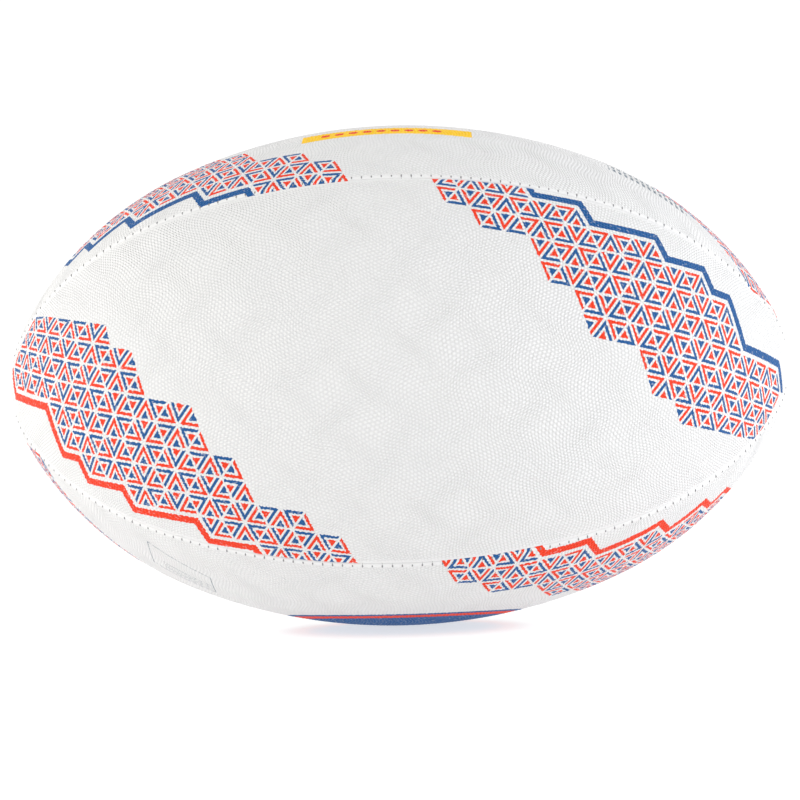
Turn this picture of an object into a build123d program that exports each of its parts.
"""Rugby ball: four stitched cover panels on cloth plies, with a bladder and its valve inside.

The long axis lies along X, +Z is up and the ball's centre is the origin. The panels face -Y,
+Z, +Y and -Z, so the four seams lie in the planes at 45 degrees between them. Millimetres.
"""
from build123d import *
from math import cos, degrees, radians, sin
import os

# Outer shape: the meridian is five arcs that run into each other, tip to tip
half_length = 145.0          # centre to tip
ball_radius = 93.0           # half of the belly's width
tip_radius = 45.5            # the tip's own rounding
belly_turn = radians(23.0)   # how far the skin has turned where the belly arc ends
shoulder_turn = radians(60.5)  # and where the shoulder arc ends

# Panel laminate, from the outside in
cover_thickness = 1.4
ply_thickness = 0.45
ply_count = 3
rim_depth = 7.0              # from the skin down to the edge of the turned-in rim
valley_radius = 1.1          # rounding of the valley between two panels

# Seam stitching
stitch_pitch = 3.4           # along the seam
thread_width = 0.7           # of the flattened strands along the rims
bar_width = 0.6              # of the round bars through the rims
thread_clearance = 0.05      # around the bars, in their holes
thread_drop = 0.2            # from the plies down to the strands
stitch_free_end = 9.0        # bare length of seam next to each tip

# Bladder
bladder_thickness = 0.9
bladder_clearance = 0.3      # around the seam rims, which stand in its grooves

# Valve, in the middle of the panel that faces +Y
needle_radius = 1.0
plug_radius = 2.6
plug_length = 12.0
housing_wall = 1.4           # rubber around the plug
housing_lip = 1.6            # rubber over and under the plug
housing_recess = 0.3         # from the belly down to the housing's face
mouth_clearance = 0.6        # around the needle, in the lips
flange_width = 7.0           # how far the flange stands out of the housing
flange_thickness = 1.2
patch_width = 7.0            # how far the patch stands out of the flange
patch_thickness = 0.5
valve_clearance = 0.1        # around the housing, in the layers that it passes

laminate = cover_thickness + ply_count * ply_thickness
thread_depth = laminate + thread_drop + thread_width / 2
thread_side = laminate + thread_width / 2
groove_width = 2 * (laminate + thread_width + bladder_clearance)
groove_depth = rim_depth + bladder_clearance
bladder_inner = laminate + bladder_thickness
patch_inner = bladder_inner + patch_thickness
flange_inner = patch_inner + flange_thickness

housing_radius = plug_radius + housing_wall
valve_hole_radius = housing_radius + valve_clearance
mouth_radius = needle_radius + mouth_clearance
flange_radius = housing_radius + flange_width
patch_radius = flange_radius + patch_width
housing_face = ball_radius - housing_recess
plug_top = housing_face - housing_lip
plug_bottom = plug_top - plug_length
housing_bottom = plug_bottom - housing_lip

quarter_turn = radians(90)
margin = 20.0                # how far cutting tools stand out of the ball
seam_angle = 45              # from a panel's middle to its seam, in degrees
panel_turns = {"front": 0, "top": -90, "back": 180, "bottom": 90}
seam_turns = {"front_top": 45, "top_back": -45, "back_bottom": -135, "bottom_front": 135}

os.makedirs("parts", exist_ok=True)


def meridian_radii():
    """Radii of the belly arc and the shoulder arc that reach both the tip and the belly."""
    across = sin(shoulder_turn) - sin(belly_turn)
    down = cos(belly_turn) - cos(shoulder_turn)
    length_left = half_length - tip_radius * (1 - sin(shoulder_turn))
    height_left = ball_radius - tip_radius * cos(shoulder_turn)
    scale = sin(belly_turn) * down - across * (1 - cos(belly_turn))
    belly = (length_left * down - across * height_left) / scale
    shoulder = (sin(belly_turn) * height_left - (1 - cos(belly_turn)) * length_left) / scale
    return belly, shoulder


belly_radius, shoulder_radius = meridian_radii()
belly_centre = (0, ball_radius - belly_radius)
shoulder_centre = (
    (belly_radius - shoulder_radius) * sin(belly_turn),
    belly_centre[1] + (belly_radius - shoulder_radius) * cos(belly_turn),
)
tip_centre = (half_length - tip_radius, 0)

# Arcs from the -X tip to the +X tip: centre, radius, and the skin's turn at each end
meridian_arcs = (
    ((-tip_centre[0], tip_centre[1]), tip_radius, -quarter_turn, -shoulder_turn),
    ((-shoulder_centre[0], shoulder_centre[1]), shoulder_radius, -shoulder_turn, -belly_turn),
    (belly_centre, belly_radius, -belly_turn, belly_turn),
    (shoulder_centre, shoulder_radius, belly_turn, shoulder_turn),
    (tip_centre, tip_radius, shoulder_turn, quarter_turn),
)


def stitch_places():
    """Points of the XZ plane where a thread at its depth crosses the seam, evenly spaced."""
    half_seam = sum(radius * (end - max(start, 0)) for _, radius, start, end in meridian_arcs[2:])
    count = int((half_seam - stitch_free_end) / stitch_pitch)
    places = []
    for number in range(count):
        walked = (number + 0.5) * stitch_pitch
        for centre, radius, start, end in meridian_arcs[2:]:
            length = radius * (end - max(start, 0))
            if walked <= length:
                break
            walked -= length
        turn = max(start, 0) + walked / radius
        x = centre[0] + (radius - thread_depth) * sin(turn)
        z = centre[1] + (radius - thread_depth) * cos(turn)
        places += [(x, z, turn), (-x, z, -turn)]
    return sorted(places)


def egg(inset):
    """The whole ball's shape, with its skin moved in by inset."""
    with BuildPart() as shape:
        with BuildSketch(Plane.XY):
            with BuildLine():
                for centre, radius, start, end in meridian_arcs:
                    CenterArc(centre, radius - inset, 90 - degrees(start), -degrees(end - start))
                Line((half_length - inset, 0), (inset - half_length, 0))
            make_face()
        revolve(axis=Axis.X)
    return shape.part


def wedge(inset):
    """The quarter of space of the panel that faces -Y, its sides moved in by inset."""
    reach = ball_radius + margin
    apex = -inset * 2 ** 0.5
    with BuildPart() as quarter:
        with BuildSketch(Plane.YZ):
            Polygon((apex, 0), (apex - reach, reach), (apex - reach, -reach), align=None)
        extrude(amount=half_length + margin, both=True)
    return quarter.part


def seam_strand(section, depth, side, last_turn):
    """A section carried along the seam of the XZ plane, up to last_turn on either side."""
    with BuildPart() as strand:
        for centre, radius, start, end in meridian_arcs:
            start = max(start, -last_turn)
            end = min(end, last_turn)
            x = centre[0] + (radius - depth) * sin(start)
            z = centre[1] + (radius - depth) * cos(start)
            across_seam = Plane((x, side, z), x_dir=(0, 1, 0), z_dir=(cos(start), 0, -sin(start)))
            with BuildSketch(across_seam):
                add(section)
            arc_axis = Axis((centre[0], side, centre[1]), (0, 1, 0))
            revolve(axis=arc_axis, revolution_arc=degrees(end - start))
    return strand.part


def stitch_crossings(radius, half_reach):
    """Round bars through the seam of the XZ plane, one at each stitch."""
    with BuildPart() as crossings:
        with Locations(*[(x, 0, z) for x, z, _ in stitches]):
            Cylinder(radius, 2 * half_reach, rotation=(90, 0, 0))
    return crossings.part


def panel_layer(outer, inner):
    """One layer of the panel that faces -Y: its skin and its two turned-in, punched rims."""
    with BuildPart() as core:
        add(egg(inner))
        add(wedge(inner), mode=Mode.INTERSECT)
    with BuildPart() as layer:
        add(egg(outer))
        add(wedge(outer), mode=Mode.INTERSECT)
        add(core.part, mode=Mode.SUBTRACT)
        add(egg(rim_depth), mode=Mode.SUBTRACT)
        for turn in (seam_angle, 180 - seam_angle):
            add(punch, rotation=(turn, 0, 0), mode=Mode.SUBTRACT)
    return layer.part


def finish(piece, name):
    """Label a piece and write it out."""
    piece.part.label = name
    export_step(piece.part, f"parts/{name}.step")


stitches = stitch_places()
punch = stitch_crossings(bar_width / 2 + thread_clearance, thread_side)

# The hole that the valve's housing passes, in the panel that faces +Y
with BuildPart() as valve_hole:
    with BuildSketch(Plane.XZ.offset(-housing_bottom)):
        Circle(valve_hole_radius)
    extrude(amount=-(ball_radius + margin - housing_bottom))

# Rubber covers: the same panel four times, with a valley rolled in along both seams
with BuildSketch() as valley_section:
    Circle(valley_radius)
valley = seam_strand(valley_section.sketch, 0, 0, quarter_turn)
with BuildPart() as cover_blank:
    add(panel_layer(0, cover_thickness))
    for turn in (seam_angle, 180 - seam_angle):
        add(valley, rotation=(turn, 0, 0), mode=Mode.SUBTRACT)
for place, turn in panel_turns.items():
    with BuildPart() as cover:
        add(cover_blank.part, rotation=(turn, 0, 0))
        if place == "back":
            add(valve_hole.part, mode=Mode.SUBTRACT)
    finish(cover, f"cover_{place}")

# Cloth plies bonded under each cover
for number in range(1, ply_count + 1):
    ply_inner = cover_thickness + number * ply_thickness
    ply_blank = panel_layer(ply_inner - ply_thickness, ply_inner)
    for place, turn in panel_turns.items():
        with BuildPart() as ply:
            add(ply_blank, rotation=(turn, 0, 0))
            if place == "back":
                add(valve_hole.part, mode=Mode.SUBTRACT)
        finish(ply, f"ply_{number}_{place}")

# Thread: a bar through the rims at each stitch, and a strand along each rim
strand_end = stitches[-1][2]
with BuildSketch() as strand_section:
    Rectangle(thread_width, thread_width)
with BuildPart() as thread_blank:
    for side in (-thread_side, thread_side):
        add(seam_strand(strand_section.sketch, thread_depth, side, strand_end))
    add(stitch_crossings(bar_width / 2, thread_side))
for place, turn in seam_turns.items():
    with BuildPart() as thread:
        add(thread_blank.part, rotation=(turn, 0, 0))
    finish(thread, f"seam_thread_{place}")


def grooved_egg(inset, slot_width, slot_depth):
    """The ball's shape moved in by inset, with a slot along each of the four seams."""
    reach = 2 * (half_length + margin)
    with BuildPart() as shape:
        add(egg(inset))
        for turn in (seam_angle, -seam_angle):
            Box(reach, slot_width, reach, rotation=(turn, 0, 0), mode=Mode.SUBTRACT)
        add(egg(slot_depth))
    return shape.part


# Bladder: one thin balloon that lines the plies and dips around the seam rims
with BuildPart() as bladder:
    add(grooved_egg(laminate, groove_width, groove_depth))
    add(
        grooved_egg(
            bladder_inner,
            groove_width + 2 * bladder_thickness,
            groove_depth + bladder_thickness,
        ),
        mode=Mode.SUBTRACT,
    )
    add(valve_hole.part, mode=Mode.SUBTRACT)
finish(bladder, "bladder")

# Patch bonded inside the bladder, around the housing
with BuildPart() as valve_patch:
    with BuildSketch(Plane.XZ.offset(-housing_bottom)):
        Circle(patch_radius)
    extrude(amount=-(ball_radius - housing_bottom))
    add(egg(bladder_inner), mode=Mode.INTERSECT)
    add(egg(patch_inner), mode=Mode.SUBTRACT)
    add(valve_hole.part, mode=Mode.SUBTRACT)
finish(valve_patch, "valve_patch")

# Housing: a moulded rubber body with a flange bonded under the patch
with BuildPart() as flange:
    with BuildSketch(Plane.XZ.offset(-housing_bottom)):
        Circle(flange_radius)
    extrude(amount=-(ball_radius - housing_bottom))
    add(egg(patch_inner), mode=Mode.INTERSECT)
    add(egg(flange_inner), mode=Mode.SUBTRACT)
with BuildPart() as valve_housing:
    with BuildSketch(Plane.XZ.offset(-housing_bottom)):
        Circle(housing_radius)
    extrude(amount=-(housing_face - housing_bottom))
    add(flange.part)
    with BuildSketch(Plane.XZ.offset(-plug_bottom)):
        Circle(plug_radius)
    extrude(amount=-plug_length, mode=Mode.SUBTRACT)
    with BuildSketch(Plane.XZ.offset(-housing_bottom)):
        Circle(mouth_radius)
    extrude(amount=-(ball_radius - housing_bottom), mode=Mode.SUBTRACT)
finish(valve_housing, "valve_housing")

# Plug: soft insert with the needle's passage through it
with BuildPart() as valve_plug:
    with BuildSketch(Plane.XZ.offset(-plug_bottom)):
        Circle(plug_radius)
        Circle(needle_radius, mode=Mode.SUBTRACT)
    extrude(amount=-plug_length)
finish(valve_plug, "valve_plug")
